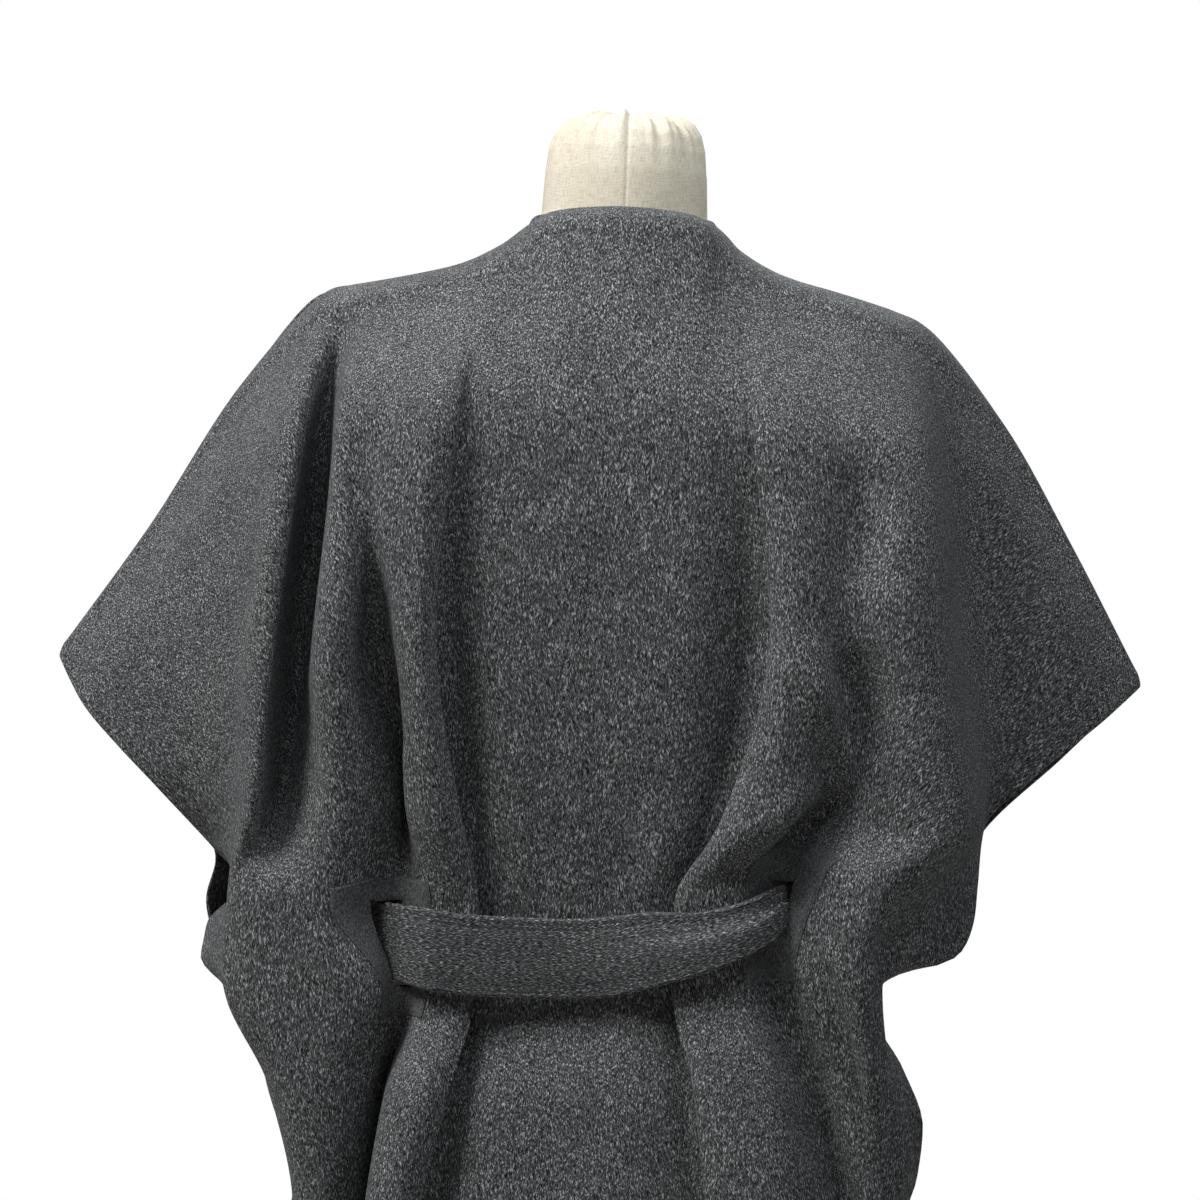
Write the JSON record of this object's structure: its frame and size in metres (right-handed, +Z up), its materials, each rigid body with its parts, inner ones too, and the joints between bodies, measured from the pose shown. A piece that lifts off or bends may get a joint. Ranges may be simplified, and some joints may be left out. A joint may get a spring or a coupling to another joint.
{
  "type": "sleeveless belted cape coat on a dress form",
  "caption": "Wide sleeveless cape coat with open sides, belt threaded through slits and tied in front, worn by a limbless dress form on a round base.",
  "frame": {"origin": "centre of the underside of the round base, on the floor", "axes": "+Z up along the post, the coat's front faces -Y and its back +Y, the wearer's left is +X"},
  "size_m": [0.7, 0.38, 1.485],
  "materials": {
    "charcoal_wool": "brushed melange wool",
    "smooth_grey_wool": "fine smooth wool",
    "natural_linen": "plain woven linen",
    "grey_painted_steel": "satin"
  },
  "bodies": {
    "root": {"back": "charcoal_wool", "front_left": "charcoal_wool", "front_right": "charcoal_wool", "patch_back_left": "smooth_grey_wool", "patch_back_right": "smooth_grey_wool", "patch_front_left": "smooth_grey_wool", "patch_front_right": "smooth_grey_wool", "belt": "charcoal_wool", "belt_knot": "charcoal_wool", "belt_tail_left": "charcoal_wool", "belt_tail_right": "charcoal_wool", "form_body": "natural_linen", "form_post": "grey_painted_steel", "form_base": "grey_painted_steel"}
  },
  "joints": []
}
